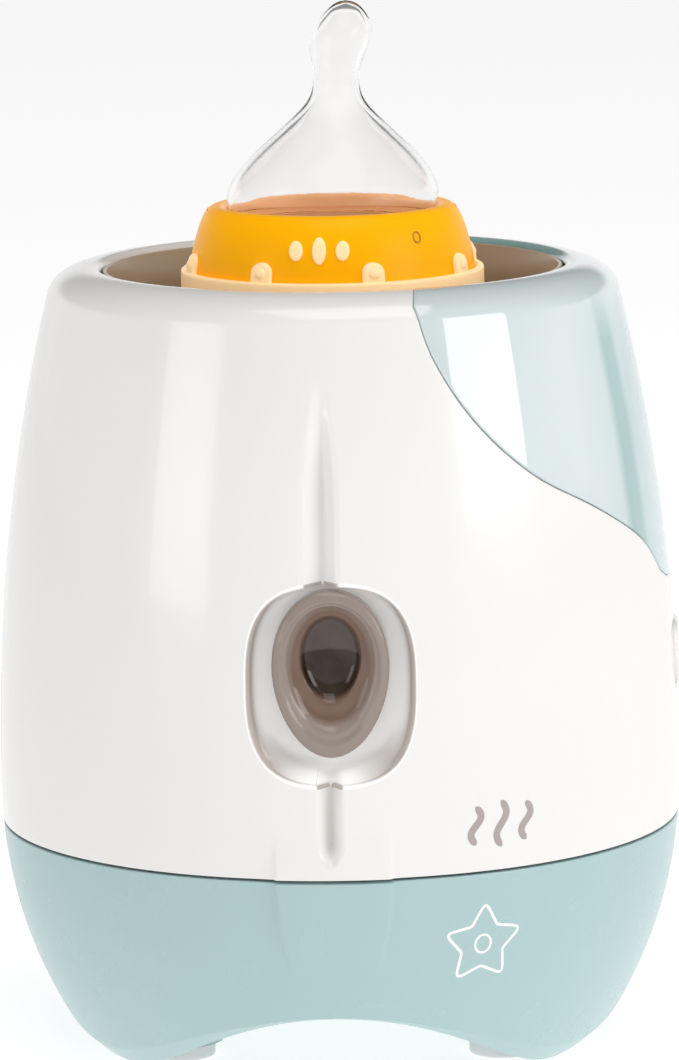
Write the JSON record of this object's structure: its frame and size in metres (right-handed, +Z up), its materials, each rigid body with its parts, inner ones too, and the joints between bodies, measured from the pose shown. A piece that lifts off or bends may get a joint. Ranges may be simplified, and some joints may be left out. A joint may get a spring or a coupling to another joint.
{
  "type": "bottle warmer",
  "caption": "Countertop baby bottle warmer: tapered casing on a lobed base, push button, lift-off side cover and a lifting basket holding a feeding bottle.",
  "frame": {"origin": "on the table, on the warmer's vertical axis, between its feet", "axes": "+Z up along the warmer's axis, -Y the front with the push button, +X the side with the lift-off cover"},
  "size_m": [0.1413, 0.14, 0.216],
  "materials": {
    "white_gloss": "gloss",
    "white_button": "gloss",
    "teal_satin": "satin",
    "aqua_clear": "gloss",
    "taupe_clear": "gloss",
    "taupe_liner": "semi-gloss",
    "basket_white": "satin",
    "bottle_clear": "gloss",
    "orange": "satin",
    "orange_pale": "satin",
    "silicone": "gloss",
    "seal_silicone": "matte",
    "rubber_grey": "matte",
    "aluminium": "satin",
    "steel": "satin",
    "board_green": "satin",
    "black_plastic": "matte",
    "ceramic": "matte",
    "led_white": "gloss",
    "wire_red": "satin",
    "wire_blue": "satin",
    "wire_white": "satin"
  },
  "bodies": {
    "casing": {"base_shell": "teal_satin", "bottom_plate": "teal_satin", "foot_pad_1": "rubber_grey", "foot_pad_2": "rubber_grey", "foot_pad_3": "rubber_grey", "base_screw_1": "steel", "base_screw_2": "steel", "base_screw_3": "steel", "cable_gland": "rubber_grey", "housing": "white_gloss", "release_spring": "steel", "button_spring": "steel", "control_board": "board_green", "board_screw_1": "steel", "board_screw_2": "steel", "board_screw_3": "steel", "board_screw_4": "steel", "tact_switch": "black_plastic", "relay": "black_plastic", "buzzer": "black_plastic", "indicator_led": "led_white", "chamber_liner": "taupe_liner", "chamber_seat": "taupe_liner", "heater_plate": "aluminium", "plate_seal": "seal_silicone", "heater_screw_1": "steel", "heater_screw_2": "steel", "heater_screw_3": "steel", "heating_element": "ceramic", "heater_clamp": "steel", "thermostat": "steel", "thermal_fuse": "ceramic", "mains_wire_1": "wire_red", "mains_wire_2": "wire_blue", "heater_wire_1": "wire_white", "heater_wire_2": "wire_white"},
    "power_button": {"power_button": "taupe_clear"},
    "release_button": {"release_button": "white_button"},
    "side_cover": {"side_cover": "aqua_clear"},
    "basket": {"lift_basket": "basket_white"},
    "bottle": {"bottle_body": "bottle_clear"},
    "teat": {"teat": "silicone"},
    "collar": {"bottle_collar": "orange", "collar_band": "orange_pale"}
  },
  "joints": [
    {"name": "power_button_press", "type": "slide", "parent": "casing", "child": "power_button", "axis": [0, 1, 0], "range_m": [0, 0.0012], "stiffness_N_per_m": 900, "deforming": ["button_spring"]},
    {"name": "release_button_press", "type": "slide", "parent": "casing", "child": "release_button", "axis": [-1, 0, 0], "range_m": [0, 0.0015], "stiffness_N_per_m": 900, "deforming": ["release_spring"]},
    {"name": "cover_lift", "type": "slide", "parent": "casing", "child": "side_cover", "axis": [0, 0, 1], "range_m": [0, 0.09]},
    {"name": "basket_lift", "type": "slide", "parent": "casing", "child": "basket", "axis": [0, 0, 1], "range_m": [0, 0.06]},
    {"name": "bottle_lift", "type": "slide", "parent": "basket", "child": "bottle", "axis": [0, 0, 1], "range_m": [0, 0.15]},
    {"name": "teat_rise", "type": "slide", "parent": "bottle", "child": "teat", "axis": [0, 0, 1], "range_m": [0, 0.004]},
    {"name": "collar_turn", "type": "hinge", "parent": "teat", "child": "collar", "pos_m": [0, 0, 0.163], "axis": [0, 0, 1], "range_deg": [0, 360]}
  ],
  "couplings": [
    {"joint": "teat_rise", "follows": "collar_turn", "m_per_rad": 0.000636}
  ]
}
